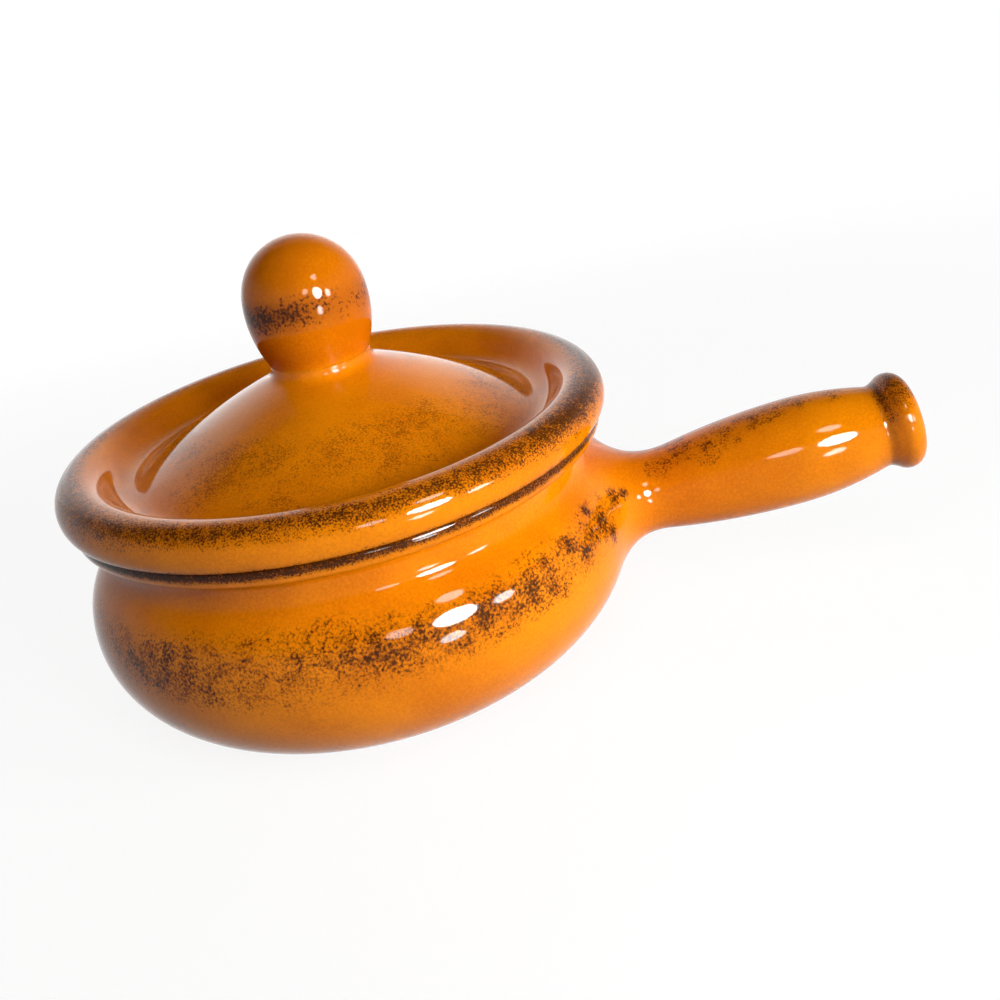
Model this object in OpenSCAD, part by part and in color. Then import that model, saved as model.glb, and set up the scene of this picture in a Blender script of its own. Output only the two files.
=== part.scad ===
// Lidded casserole bowl with one side handle, in millimetres, +Z up.
// Origin: centre of the foot on the bowl's axis. The handle points along +X.

/* [Bowl] */
// Greatest radius of the belly
belly_r = 69.9; // [69:0.1:70.6]
// Radius of the curve from belly to foot
belly_low_r = 23.6; // [22:0.2:25]
// Radius of the curve from belly to side
belly_side_r = 26.6; // [25.6:0.2:27.6]
// Angle where the side's curve gives way to the shoulder's, degrees
side_a = 15; // [13:0.5:17]
// Radius of the shoulder's curve
shoulder_curve_r = 18.5; // [17.5:0.5:19.5]
// Slope of the shoulder from the vertical, degrees
shoulder_a = 50; // [48:0.5:51]
// Least radius of the hollow neck
neck_r = 59.9; // [59.7:0.1:60.3]
// Radius of the neck's curve above the shoulder
neck_curve_r = 5; // [4.4:0.1:5.4]
// Height of the lip's flat top
lip_z = 55.6; // [55.2:0.2:57]
// Outer radius of the lip
lip_r = 66.1; // [65.4:0.1:66.6]
// Height of the rolled lip
lip_h = 4.6; // [4:0.1:5]
// Radius of the mouth
mouth_r = 55.6; // [55.4:0.1:57]
// Wall thickness
wall = 5.5; // [4.5:0.1:6.5]
// Radius of the flat foot
foot_r = 45; // [41:0.5:46]
// Height of the foot
foot_h = 0.8; // [0.6:0.1:1.6]

/* [Lid] */
// Outer radius of the lid
lid_r = 68; // [67.8:0.1:69.5]
// Radius of the rolled rim's curve
rim_curve_r = 6; // [5.4:0.1:6.1]
// Height of the rim curve's centre above the seat
rim_curve_z = 2.7; // [2.3:0.1:3.1]
// Radius at the bottom of the trough
trough_r = 51.3; // [50.8:0.1:51.5]
// Radius of the trough's curve
trough_curve_r = 5; // [4.6:0.1:5.1]
// Height of the trough's bottom above the seat
trough_z = 1.1; // [0.9:0.1:1.5]
// Radius of the dome's long curve
dome_curve_r = 220; // [180:5:280]
// Outer radius of the plug inside the mouth
plug_r = 54; // [53.6:0.1:54.4]
// Depth of the plug below the seat
plug_h = 4.5; // [4:0.1:5]
// Thickness of the dome
lid_wall = 5.6; // [5:0.1:6.2]
// Gap between the lip's top and the lid's seat
seat_gap = 0.2; // [0.15:0.05:0.5]

/* [Knob] */
// Greatest radius of the knob
knob_r = 15.05; // [14:0.05:16]
// Height of the knob's widest part above the seat
knob_mid_z = 33.6; // [33:0.2:35]
// Height of the knob's top above the seat
knob_top_z = 51; // [50:0.2:52]
// Height of the joint between knob and lid above the seat
knob_joint_z = 21.4; // [21:0.1:22]
// Radius of the knob at that joint
knob_neck_r = 12.3; // [11.8:0.1:12.6]
// Radius of the vent into the hollow knob
vent_r = 6; // [4:0.1:7]
// Wall thickness of the knob
knob_wall = 5; // [4:0.1:6]

/* [Handle] */
// Upward tilt of the handle, degrees
handle_tilt = 9.8; // [8:0.2:11]
// Height where the handle's axis crosses the bowl's axis
handle_z = 13.9; // [13:0.1:15]
// Greatest radius of the barrel
barrel_r = 13.4; // [12.8:0.1:14]
// Distance along the axis to the widest part of the barrel
barrel_mid_s = 114; // [112:0.5:116]
// Radius of the barrel's long curve towards the bowl
barrel_curve_r = 187; // [180:1:220]
// Radius of the barrel's curve towards the bead
barrel_end_curve_r = 78; // [74:1:90]
// Distance along the axis to the crease before the bead
crease_s = 136; // [135:0.2:137]
// Distance along the axis to the end of the handle
handle_end_s = 144.6; // [144:0.2:146]
// Outer radius of the bead
bead_r = 12.3; // [11.8:0.1:12.8]
// Radius of the hollow inside the barrel
bore_r = 7.6; // [6.5:0.1:8]
// Radius of the handle's open mouth
bore_mouth_r = 6.4; // [5:0.1:6.6]
// Spread of the fillet where the handle meets the belly
fillet_w = 13.5; // [12:0.5:14]
// Extra spread of that fillet towards the shoulder
fillet_up = 1; // [0.5:0.25:2]
// Spread taken off that fillet towards the foot
fillet_down = 4; // [3.5:0.25:6]
// Height of that fillet along the handle
fillet_h = 10.5; // [9:0.25:11]

/* [Hidden] */
$fn = 96;
over = 1;
arc_steps = 12;
seat_z = lip_z + seat_gap;
// Bowl: centres and meeting points of the outer curves
low_c = [belly_r - belly_low_r, foot_h + belly_low_r];
side_c = [belly_r - belly_side_r, low_c[1]];
side_end = side_c + belly_side_r * [cos(side_a), sin(side_a)];
shoulder_c = side_end - shoulder_curve_r * [cos(side_a), sin(side_a)];
shoulder_end = shoulder_c + shoulder_curve_r * [cos(shoulder_a), sin(shoulder_a)];
lip_round = 1.7;
lip_in = lip_r - lip_round;
lip_under = lip_z - lip_h;
neck_in_r = neck_r + neck_curve_r * (1 - cos(shoulder_a));
neck_in = [neck_in_r, shoulder_end[1] + (shoulder_end[0] - neck_in_r) / tan(shoulder_a)];
neck_low_c = neck_in + neck_curve_r * [cos(shoulder_a), sin(shoulder_a)];
neck_wall_h = 0.2;
neck_high_r = min(lip_in - neck_r, lip_under - neck_low_c[1] - neck_wall_h);
neck_high_c = [neck_r + neck_high_r, lip_under - neck_high_r];
// Bowl: the inner curves run one wall thickness inside
in_low_r = belly_low_r - wall;
in_side_r = belly_side_r - wall;
in_side_end = side_c + in_side_r * [cos(side_a), sin(side_a)];
in_shoulder_r = shoulder_curve_r - wall;
in_shoulder_end = shoulder_c + in_shoulder_r * [cos(shoulder_a), sin(shoulder_a)];
mouth_z = in_shoulder_end[1] + (in_shoulder_end[0] - mouth_r) / tan(shoulder_a);
mouth_round = 1.6;
mouth_c = [mouth_r + mouth_round, lip_z - mouth_round];
lip_low_c = [lip_in, lip_under + lip_round];
lip_high_c = [lip_in, lip_z - lip_round];
// Bowl: half outline from the middle of the foot up to the lip, and from the lip down inside
outer_points = concat(
    [[0, 0], [foot_r, 0], [foot_r, foot_h]],
    arc_points(low_c, belly_low_r, [low_c[0], foot_h], [belly_r, low_c[1]], 0, 2 * arc_steps),
    arc_points(side_c, belly_side_r, [belly_r, low_c[1]], side_end, 1),
    arc_points(shoulder_c, shoulder_curve_r, side_end, shoulder_end, 1),
    arc_points(neck_low_c, neck_curve_r, neck_in, neck_low_c - [neck_curve_r, 0]),
    arc_points(neck_high_c, neck_high_r, neck_high_c - [neck_high_r, 0],
               neck_high_c + [0, neck_high_r]),
    arc_points(lip_low_c, lip_round, lip_low_c - [0, lip_round], lip_low_c + [lip_round, 0], 1),
    arc_points(lip_high_c, lip_round, lip_high_c + [lip_round, 0], lip_high_c + [0, lip_round]));
inner_points = concat(
    arc_points(mouth_c, mouth_round, mouth_c + [0, mouth_round], mouth_c - [mouth_round, 0]),
    [[mouth_r, mouth_z]],
    arc_points(shoulder_c, in_shoulder_r, in_shoulder_end, in_side_end),
    arc_points(side_c, in_side_r, in_side_end, side_c + [in_side_r, 0], 1),
    arc_points(low_c, in_low_r, low_c + [in_low_r, 0], low_c - [0, in_low_r], 1, 2 * arc_steps),
    [[0, low_c[1] - in_low_r]]);
// Lid: all heights measured from the seat
rim_c = [lid_r - rim_curve_r, rim_curve_z];
rim_edge = [rim_c[0] + sqrt(pow(rim_curve_r, 2) - pow(rim_curve_z, 2)), 0];
trough_c = [trough_r, trough_z + trough_curve_r];
rim_to_trough = trough_c - rim_c;
inner_a = atan2(rim_to_trough[1], rim_to_trough[0]);
rim_in = rim_c + rim_curve_r * [cos(inner_a), sin(inner_a)];
trough_out = trough_c - trough_curve_r * [cos(inner_a), sin(inner_a)];
dome_low_a = 30;
dome_low = trough_c - trough_curve_r * [sin(dome_low_a), cos(dome_low_a)];
dome_c = dome_low - dome_curve_r * [sin(dome_low_a), cos(dome_low_a)];
neck_fillet_r = 2.4;
neck_fillet_c = [knob_neck_r + neck_fillet_r,
    dome_c[1] + sqrt(pow(dome_curve_r + neck_fillet_r, 2)
                     - pow(knob_neck_r + neck_fillet_r - dome_c[0], 2))];
dome_high = dome_c + dome_curve_r / (dome_curve_r + neck_fillet_r) * (neck_fillet_c - dome_c);
neck_low = neck_fillet_c - [neck_fillet_r, 0];
plug_round = 2.2;
plug_c = [plug_r - plug_round, plug_round - plug_h];
under_r = dome_curve_r - lid_wall;
plug_in_r = dome_c[0] + sqrt(pow(under_r, 2) - pow(plug_h + dome_c[1], 2));
under_low = [plug_in_r, -plug_h];
ceiling_r = 11;
under_high = [ceiling_r, dome_c[1] + sqrt(pow(under_r, 2) - pow(ceiling_r - dome_c[0], 2))];
// Knob: a long side curve that runs into a round top
knob_drop = knob_r - knob_neck_r;
knob_rise = knob_mid_z - knob_joint_z;
knob_side_r = (pow(knob_rise, 2) + pow(knob_drop, 2)) / (2 * knob_drop);
knob_side_c = [knob_r - knob_side_r, knob_mid_z];
top_gap = knob_top_z - knob_mid_z;
top_r = (pow(knob_side_r, 2) - pow(knob_side_c[0], 2) - pow(top_gap, 2))
        / (2 * (knob_side_r - top_gap));
top_c = [0, knob_top_z - top_r];
top_a = atan2(top_c[1] - knob_side_c[1], -knob_side_c[0]);
top_meet = top_c + top_r * [cos(top_a), sin(top_a)];
cavity_r = knob_r - knob_wall;
cavity_c = [0, knob_mid_z];
cavity_low = cavity_c + [vent_r, -sqrt(pow(cavity_r, 2) - pow(vent_r, 2))];
// Handle: distances along its axis
barrel_s = 85;
root_lap = 0.3;
root_proud = 0.15;
barrel_start_s = barrel_s - root_lap;
barrel_low = [barrel_r - barrel_curve_r, barrel_mid_s];
barrel_high = [barrel_r - barrel_end_curve_r, barrel_mid_s];
barrel_start_r = barrel_at(barrel_start_s);
root_r = barrel_at(barrel_s) + root_proud;
crease_r = barrel_high[0] + sqrt(pow(barrel_end_curve_r, 2) - pow(crease_s - barrel_mid_s, 2));
bead_curve_r = 3.8;
bead_a = 50;
bead_c = [bead_r - bead_curve_r, handle_end_s - bead_curve_r];
bead_low = bead_c + bead_curve_r * [cos(bead_a), -sin(bead_a)];
bead_lip_r = (bead_c[0] - bore_mouth_r) / 2;
bore_lip_c = [bore_mouth_r + bead_lip_r, handle_end_s - bead_lip_r];
bore_s = 76;
bore_in_s = 92;
bore_out_s = crease_s - 8;
spigot_r = barrel_start_r - 1;
root_inner_s = 52;
root_core_r = 6;
// Fillet of the handle on the belly
fillet_dip = 0.5;
fillet_r = 10;
fillet_steps = 12;
fillet_sides = 60;

// Radius of the barrel at distance s, on the side towards the bowl
function barrel_at(s) = barrel_low[0] + sqrt(pow(barrel_curve_r, 2) - pow(barrel_mid_s - s, 2));

// Outer radius of the belly and shoulder at height z
function belly_at(z) =
    z < low_c[1] ? low_c[0] + sqrt(max(0, pow(belly_low_r, 2) - pow(z - low_c[1], 2)))
    : z < side_end[1] ? side_c[0] + sqrt(pow(belly_side_r, 2) - pow(z - side_c[1], 2))
    : z < shoulder_end[1] ? shoulder_c[0] + sqrt(pow(shoulder_curve_r, 2) - pow(z - shoulder_c[1], 2))
    : shoulder_end[0] - (z - shoulder_end[1]) * tan(shoulder_a);

// Point at distance s along the handle, rho off its axis, turned by angle a
function handle_point(s, rho, a) = [
    s * cos(handle_tilt) - rho * sin(a) * sin(handle_tilt),
    rho * cos(a),
    handle_z + s * sin(handle_tilt) + rho * sin(a) * cos(handle_tilt)];

// How far that point lies outside the belly
function belly_gap(p) = norm([p[0], p[1]]) - belly_at(p[2]);

// Distance along the handle where the line at rho and a leaves the belly
function belly_s(rho, a, lo = 40, hi = 100, n = 22) =
    n == 0 ? (lo + hi) / 2
    : belly_gap(handle_point((lo + hi) / 2, rho, a)) > 0 ? belly_s(rho, a, lo, (lo + hi) / 2, n - 1)
    : belly_s(rho, a, (lo + hi) / 2, hi, n - 1);

// One ring of the fillet, u from 0 on the handle to 1 just under the belly's surface
function fillet_ring(u) = [
    for (i = [0 : fillet_sides - 1])
        let (a = 360 * i / fillet_sides)
        let (w = fillet_w + (a < 180 ? fillet_up : fillet_down) * sin(a))
        let (rho = barrel_at(belly_s(fillet_r, a) + fillet_h) + w * u)
        let (lift = (fillet_h + fillet_dip) * (1 - sqrt(1 - pow(1 - u, 2))) - fillet_dip)
        handle_point(belly_s(rho, a) + lift, rho, a)];

// A plain ring of the handle at distance s with radius rho
function plain_ring(s, rho) = [
    for (i = [0 : fillet_sides - 1])
        handle_point(s, rho, 360 * i / fillet_sides)];

// Points along the circle of radius r about c, from p to q, in short straight steps
function arc_points(c, r, p, q, first = 0, steps = arc_steps) =
    let (a0 = atan2(p[1] - c[1], p[0] - c[0]), a1 = atan2(q[1] - c[1], q[0] - c[0]))
    let (turn = (a1 - a0) % 360)
    let (sweep = turn > 200 ? turn - 360 : turn < -200 ? turn + 360 : turn)
    [for (i = [first : steps])
        let (a = a0 + sweep * i / steps)
        c + r * [cos(a), sin(a)]];

module bowl_outer() {
    rotate_extrude() polygon(concat(outer_points, [[0, lip_z]]));
}

module bowl() {
    color("DarkOrange") rotate_extrude() polygon(concat(outer_points, inner_points));
}

module lid_2d() {
    polygon(concat(
        [[plug_r, 0], rim_edge],
        arc_points(rim_c, rim_curve_r, rim_edge, rim_in, 1, 2 * arc_steps),
        arc_points(trough_c, trough_curve_r, trough_out, dome_low),
        arc_points(dome_c, dome_curve_r, dome_low, dome_high, 1),
        arc_points(neck_fillet_c, neck_fillet_r, dome_high, neck_low, 1),
        [[knob_neck_r, knob_joint_z], [vent_r, knob_joint_z], [vent_r, under_high[1]]],
        arc_points(dome_c, under_r, under_high, under_low),
        arc_points(plug_c, plug_round, plug_c - [0, plug_round], plug_c + [plug_round, 0])));
}

module lid() {
    color("Orange") translate([0, 0, seat_z]) rotate_extrude() lid_2d();
}

module knob_2d() {
    difference() {
        polygon(concat(
            [[0, knob_joint_z]],
            arc_points(knob_side_c, knob_side_r, [knob_neck_r, knob_joint_z], top_meet),
            arc_points(top_c, top_r, top_meet, [0, knob_top_z], 1)));
        polygon(concat(
            [[0, knob_joint_z - over], [vent_r, knob_joint_z - over]],
            arc_points(cavity_c, cavity_r, cavity_low, cavity_c + [0, cavity_r])));
    }
}

module knob() {
    color("DarkOrange") translate([0, 0, seat_z]) rotate_extrude() knob_2d();
}

// Half outline of the barrel and bead: x is the radius, y the distance along the axis
module barrel_2d() {
    polygon(concat(
        [[0, barrel_start_s]],
        arc_points(barrel_low, barrel_curve_r, [barrel_start_r, barrel_start_s],
                   [barrel_r, barrel_mid_s]),
        arc_points(barrel_high, barrel_end_curve_r, [barrel_r, barrel_mid_s],
                   [crease_r, crease_s], 1),
        arc_points(bead_c, bead_curve_r, bead_low, bead_c + [0, bead_curve_r], 0, 2 * arc_steps),
        [[0, handle_end_s]]));
    translate([0, barrel_start_s - 2 * over]) square([spigot_r, 4 * over]);
}

// Half outline of the hollow inside the handle, with a rounded mouth
module bore_2d() {
    polygon(concat(
        [[0, bore_s], [bore_mouth_r, bore_s + over], [bore_r, bore_in_s], [bore_r, bore_out_s],
         [bore_mouth_r, crease_s]],
        arc_points(bore_lip_c, bead_lip_r, bore_lip_c - [bead_lip_r, 0],
                   bore_lip_c + [0, bead_lip_r]),
        [bore_lip_c + [0, bead_lip_r + over], [0, handle_end_s + over]]));
}

module handle_frame() {
    translate([0, 0, handle_z]) rotate([0, 90 - handle_tilt, 0]) children();
}

// Saddle-shaped root: a closed skin of rings from the barrel down to inside the belly
module root() {
    rings = concat(
        [plain_ring(barrel_s, root_r)],
        [for (k = [0 : fillet_steps]) fillet_ring(k / fillet_steps)],
        [plain_ring(root_inner_s, root_core_r)]);
    n = fillet_sides;
    last = len(rings) - 1;
    points = [for (ring = rings) each ring];
    skin = [
        for (k = [0 : last - 1])
            for (i = [0 : n - 1])
                let (j = (i + 1) % n)
                each [[k * n + i, (k + 1) * n + j, (k + 1) * n + i],
                      [k * n + i, k * n + j, (k + 1) * n + j]]];
    top = [for (i = [n - 1 : -1 : 0]) i];
    bottom = [for (i = [0 : n - 1]) last * n + i];
    polyhedron(points, concat([top], skin, [bottom]));
}

module handle() {
    color("Orange") difference() {
        union() {
            handle_frame() rotate_extrude() barrel_2d();
            root();
        }
        handle_frame() rotate_extrude() bore_2d();
        bowl_outer();
    }
}

bowl();
handle();
lid();
knob();
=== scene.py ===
# %% [markdown]
# # A lidded casserole bowl in amber glaze
# The object is a small stoneware casserole: a round-bellied bowl with one hollow side handle,
# and a domed lid that lifts off by its round knob. A measured model of the four members comes
# first. Each member then gets a finely curved skin in the same place, and the lesson ends with
# the glaze, the light and the camera.

# %% Load the measured model
import math

import bmesh
import bpy
import numpy as np
from mathutils import Matrix, Vector


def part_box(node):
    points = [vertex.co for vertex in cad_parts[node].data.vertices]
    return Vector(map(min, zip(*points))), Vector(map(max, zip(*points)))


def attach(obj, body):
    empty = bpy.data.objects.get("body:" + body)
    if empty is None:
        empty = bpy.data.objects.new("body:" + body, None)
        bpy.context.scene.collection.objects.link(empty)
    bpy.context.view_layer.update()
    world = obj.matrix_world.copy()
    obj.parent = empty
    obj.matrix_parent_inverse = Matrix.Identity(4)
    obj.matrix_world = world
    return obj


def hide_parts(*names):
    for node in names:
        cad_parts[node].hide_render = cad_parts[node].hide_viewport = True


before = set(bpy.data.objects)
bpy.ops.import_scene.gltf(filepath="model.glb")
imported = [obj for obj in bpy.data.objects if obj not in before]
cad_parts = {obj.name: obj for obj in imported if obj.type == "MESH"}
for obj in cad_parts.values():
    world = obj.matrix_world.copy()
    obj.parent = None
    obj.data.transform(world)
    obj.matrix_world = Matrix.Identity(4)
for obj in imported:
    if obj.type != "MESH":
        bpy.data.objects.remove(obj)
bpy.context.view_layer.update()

MM = 0.001

# %% [markdown]
# ## Outlines as a thrower's template
# A potter shapes a turned member against a template, a card cut to half its outline. The outline
# here is a chain of arcs and straight lines, written as pairs of radius and height in millimetres.
# A curve object could be spun with a Screw modifier, but plain lists of points let the corners be
# softened first.

# %% Arcs for the templates
def arc(centre, radius, start, end, steps=24):
    """Points on a circle between two angles in degrees."""
    angles = np.radians(np.linspace(start, end, steps + 1))
    return np.stack([centre[0] + radius * np.cos(angles), centre[1] + radius * np.sin(angles)], 1)


def chain(*runs):
    """One outline out of single points and runs of points."""
    return np.vstack([np.atleast_2d(np.asarray(run, float)) for run in runs])


print("a quarter arc has", len(arc((0, 0), 1, 0, 90)), "points")

# %% [markdown]
# ## What melted glaze does to an edge
# Glaze melts into a thick glassy coat that fills inner corners and rounds outer ones. Bevels on
# every edge would do, but blurring the outline along its own length does it all at once: each
# point becomes a weighted mean of its neighbours. The points are then spaced again, closer
# together where the outline bends.

# %% Soften an outline
def spaced(outline, places):
    """The outline's points at these distances along it."""
    steps = np.hypot(*np.diff(outline, axis=0).T)
    along = np.concatenate([[0], np.cumsum(steps)])
    keep = np.concatenate([[True], steps > 1e-9])
    return np.stack([np.interp(places, along[keep], outline[keep, k]) for k in (0, 1)], 1)


def length_of(outline):
    return float(np.hypot(*np.diff(outline, axis=0).T).sum())


BEND_REACH = 6


def glazed_outline(outline, blur=0.45, fine=0.1, plain=0.45, extra=1.1):
    """Blurs an outline by a distance in mm and spaces its points by how much it bends."""
    outline = np.asarray(outline, float)
    count = int(length_of(outline) / fine)
    points = spaced(outline, np.linspace(0, length_of(outline), count + 1))
    reach = int(4 * blur / fine)
    weights = np.exp(-0.5 * (np.arange(-reach, reach + 1) * fine / blur) ** 2)
    weights /= weights.sum()
    padded = np.vstack([2 * points[0] - points[reach:0:-1], points,
                        2 * points[-1] - points[-2:-reach - 2:-1]])
    soft = np.stack([np.convolve(padded[:, k], weights, "valid") for k in (0, 1)], 1)
    soft[0], soft[-1] = points[0], points[-1]
    heading = np.unwrap(np.arctan2(*np.diff(soft, axis=0).T[::-1]))
    bend = np.abs(np.gradient(heading)) / fine
    window = 2 * BEND_REACH + 1
    bend = np.convolve(np.pad(bend, BEND_REACH, "edge"), np.ones(window) / window, "valid")
    share = np.concatenate([[0], np.cumsum((plain + extra * np.sqrt(bend)) * fine)])
    places = np.interp(np.linspace(0, share[-1], int(share[-1]) + 1), share,
                       np.linspace(0, length_of(soft), len(share)))
    return spaced(soft, places)


print("softened corner:", len(glazed_outline([(0, 0), (10, 0), (10, 10)])), "points")

# %% [markdown]
# ## Skins from rings
# Every member is a stack of rings joined by four-sided faces, closed to a point at each end or
# joined last ring to first. Spinning a profile would make the turned ones, but the handle's root
# isn't round, so one builder that takes any rings serves all four.

# %% Build a skin
def skin(name, rings, closed=False):
    """A mesh object over a list of rings; a ring of one point is a pole."""
    points, starts, faces, strips = [], [], [], []
    for ring in rings:
        starts.append(len(points))
        points.extend(np.atleast_2d(ring))
    pairs = list(zip(range(len(rings) - 1), range(1, len(rings))))
    if closed:
        pairs.append((len(rings) - 1, 0))
    for strip, (low, high) in enumerate(pairs):
        n, m = len(np.atleast_2d(rings[low])), len(np.atleast_2d(rings[high]))
        for i in range(max(n, m)):
            j = (i + 1) % max(n, m)
            a, b = starts[low] + i % n, starts[low] + j % n
            c, d = starts[high] + j % m, starts[high] + i % m
            faces.append([a, b, c] if m == 1 else [a, c, d] if n == 1 else [a, b, c, d])
            strips.append(strip)
    mesh = bpy.data.meshes.new(name)
    mesh.from_pydata([tuple(p * MM) for p in np.array(points)], [], faces)
    shaper = bmesh.new()
    shaper.from_mesh(mesh)
    bmesh.ops.recalc_face_normals(shaper, faces=shaper.faces)
    shaper.to_mesh(mesh)
    shaper.free()
    mesh.polygons.foreach_set("use_smooth", [True] * len(faces))
    piece = bpy.data.objects.new(name, mesh)
    bpy.context.scene.collection.objects.link(piece)
    print(name, len(points), "points", len(faces), "faces")
    return piece, np.array(strips)


def turned(outline, sides):
    """Rings of a turned member from its outline of radius and height."""
    angles = np.linspace(0, 2 * np.pi, sides, endpoint=False)
    rings = []
    for radius, height in outline:
        if radius < 1e-6:
            rings.append(np.array([[0, 0, height]]))
        else:
            rings.append(np.stack([radius * np.cos(angles), radius * np.sin(angles),
                                   np.full(sides, height)], 1))
    return rings


# %% [markdown]
# ## The bowl
# The bowl is thrown with a low round belly, a shoulder that leans in, a hollow neck and a rolled
# lip that the lid sits on. Its wall is 5.5 mm thick all over. The outline runs from the middle of
# the foot up the outside, over the lip and down inside to the middle of the floor, so that the
# skin closes on itself.

# %% Outline of the bowl
def on_circle(centre, radius, angle):
    """The point of a circle at an angle in degrees."""
    turn_to = math.radians(angle)
    return np.array([centre[0] + radius * math.cos(turn_to),
                     centre[1] + radius * math.sin(turn_to)])


WALL = 5.5
BELLY_RADIUS, BELLY_HEIGHT = 69.9, 24.4
LOW_CURVE, SIDE_CURVE, SIDE_END = 23.6, 26.6, 15
SHOULDER_CURVE, SHOULDER_LEAN = 18.5, 50
NECK_RADIUS, NECK_LOW_CURVE, NECK_HIGH_CURVE = 59.9, 5.0, 4.5
LIP_TOP, LIP_EDGE, LIP_HEIGHT, LIP_ROUND = 55.6, 66.1, 4.6, 1.7
MOUTH_RADIUS, MOUTH_ROUND = 55.6, 1.6
FOOT_RADIUS, FOOT_ROUND, FOOT_HEIGHT = 45.0, 0.6, 0.8

low_centre = np.array([BELLY_RADIUS - LOW_CURVE, BELLY_HEIGHT])
side_centre = np.array([BELLY_RADIUS - SIDE_CURVE, BELLY_HEIGHT])
shoulder_centre = on_circle(side_centre, SIDE_CURVE - SHOULDER_CURVE, SIDE_END)
lean = math.radians(SHOULDER_LEAN)
slope = np.array([-math.sin(lean), math.cos(lean)])
neck_start_radius = NECK_RADIUS + NECK_LOW_CURVE * (1 - math.cos(lean))


def up_the_slope(start, radius):
    """Where the leaning line from start reaches a radius."""
    return start + slope * (start[0] - radius) / math.sin(lean)


slope_start = on_circle(shoulder_centre, SHOULDER_CURVE, SHOULDER_LEAN)
neck_start = up_the_slope(slope_start, neck_start_radius)
neck_centre = neck_start + NECK_LOW_CURVE * np.array([math.cos(lean), math.sin(lean)])
inner_end = on_circle(shoulder_centre, SHOULDER_CURVE - WALL, SHOULDER_LEAN)
lip_centre = LIP_EDGE - LIP_ROUND
lip_under = LIP_TOP - LIP_HEIGHT
print("the neck is narrowest at a height of", round(float(neck_centre[1]), 2), "mm")

# %% Turn the bowl
outside = chain(
    (0, 0),
    arc((FOOT_RADIUS - FOOT_ROUND, FOOT_ROUND), FOOT_ROUND, -90, 0, 6),
    (low_centre[0], FOOT_HEIGHT),
    arc(low_centre, LOW_CURVE, -90, 0, 60),
    arc(side_centre, SIDE_CURVE, 0, SIDE_END, 24),
    arc(shoulder_centre, SHOULDER_CURVE, SIDE_END, SHOULDER_LEAN, 36),
    arc(neck_centre, NECK_LOW_CURVE, 180 + SHOULDER_LEAN, 180, 24),
    arc((NECK_RADIUS + NECK_HIGH_CURVE, lip_under - NECK_HIGH_CURVE), NECK_HIGH_CURVE, 180, 90, 24),
    arc((lip_centre, lip_under + LIP_ROUND), LIP_ROUND, -90, 0, 12),
    arc((lip_centre, LIP_TOP - LIP_ROUND), LIP_ROUND, 0, 90, 12))
inside = chain(
    arc((MOUTH_RADIUS + MOUTH_ROUND, LIP_TOP - MOUTH_ROUND), MOUTH_ROUND, 90, 180, 12),
    up_the_slope(inner_end, MOUTH_RADIUS),
    arc(shoulder_centre, SHOULDER_CURVE - WALL, SHOULDER_LEAN, SIDE_END, 36),
    arc(side_centre, SIDE_CURVE - WALL, SIDE_END, 0, 24),
    arc(low_centre, LOW_CURVE - WALL, 0, -90, 60),
    (0, low_centre[1] - LOW_CURVE + WALL))
WIDE_SIDES = 208
bowl_outline = glazed_outline(chain(outside, inside))
bowl_outline[[0, -1], 0] = 0
bowl, bowl_strips = skin("bowl_pot", turned(bowl_outline, WIDE_SIDES))

# %% [markdown]
# ## The lid and its knob
# The lid has a rolled rim, a trough, a long low dome and a short neck, and a plug below that keeps
# it from sliding off the lip. The knob is a hollow ball pressed onto the neck, open below. Potters
# close such a joint with slip and the glaze runs over it, so both outlines are cut from one
# softened curve at the joint's height.

# %% Outline of lid and knob above the seat
SEAT = 55.8
RIM_CENTRE, RIM_RADIUS = (62.0, 2.7), 6.0
TROUGH_CENTRE, TROUGH_RADIUS = (51.3, 6.1), 5.0
DOME_CENTRE, DOME_RADIUS, DOME_WALL, DOME_LOW = (-61.2, -188.8), 220.0, 5.6, 60
NECK_FILLET_CENTRE, NECK_FILLET_RADIUS = (14.7, 20.3), 2.4
JOINT_HEIGHT, JOINT_RADIUS, VENT_RADIUS = 21.4, 12.3, 6.0
PLUG_RADIUS, PLUG_DEPTH, PLUG_ROUND, PLUG_INNER = 54.0, 4.5, 2.2, 48.4
CEILING_RADIUS, CEILING_HEIGHT = 11.0, 13.1
SIDE_CENTRE, SIDE_RADIUS = (-13.39, 33.6), 28.44
TOP_CENTRE, TOP_RADIUS = (0.0, 36.2), 14.8
CAVITY_CENTRE, CAVITY_RADIUS = (0.0, 33.6), 10.05


def angle_of(centre, point):
    """The angle in degrees at which a point lies from a centre."""
    return math.degrees(math.atan2(point[1] - centre[1], point[0] - centre[0]))


crest_to_trough = angle_of(RIM_CENTRE, TROUGH_CENTRE)
dome_top = angle_of(DOME_CENTRE, NECK_FILLET_CENTRE)
top_of_side = angle_of(SIDE_CENTRE, TOP_CENTRE)
side_foot = angle_of(SIDE_CENTRE, (JOINT_RADIUS, JOINT_HEIGHT))
over_lid = chain(
    (PLUG_RADIUS, 0.0),
    arc(RIM_CENTRE, RIM_RADIUS, -math.degrees(math.asin(RIM_CENTRE[1] / RIM_RADIUS)),
        crest_to_trough, 60),
    arc(TROUGH_CENTRE, TROUGH_RADIUS, crest_to_trough - 180, DOME_LOW - 180, 30),
    arc(DOME_CENTRE, DOME_RADIUS, DOME_LOW, dome_top, 40),
    arc(NECK_FILLET_CENTRE, NECK_FILLET_RADIUS, dome_top - 180, -180, 16),
    arc(SIDE_CENTRE, SIDE_RADIUS, side_foot, top_of_side, 30),
    arc(TOP_CENTRE, TOP_RADIUS, top_of_side, 90, 40))
over_lid = glazed_outline(over_lid, fine=0.05)
over_lid[-1, 0] = 0
joint = int(np.argmax(over_lid[:, 1] >= JOINT_HEIGHT))
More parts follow.
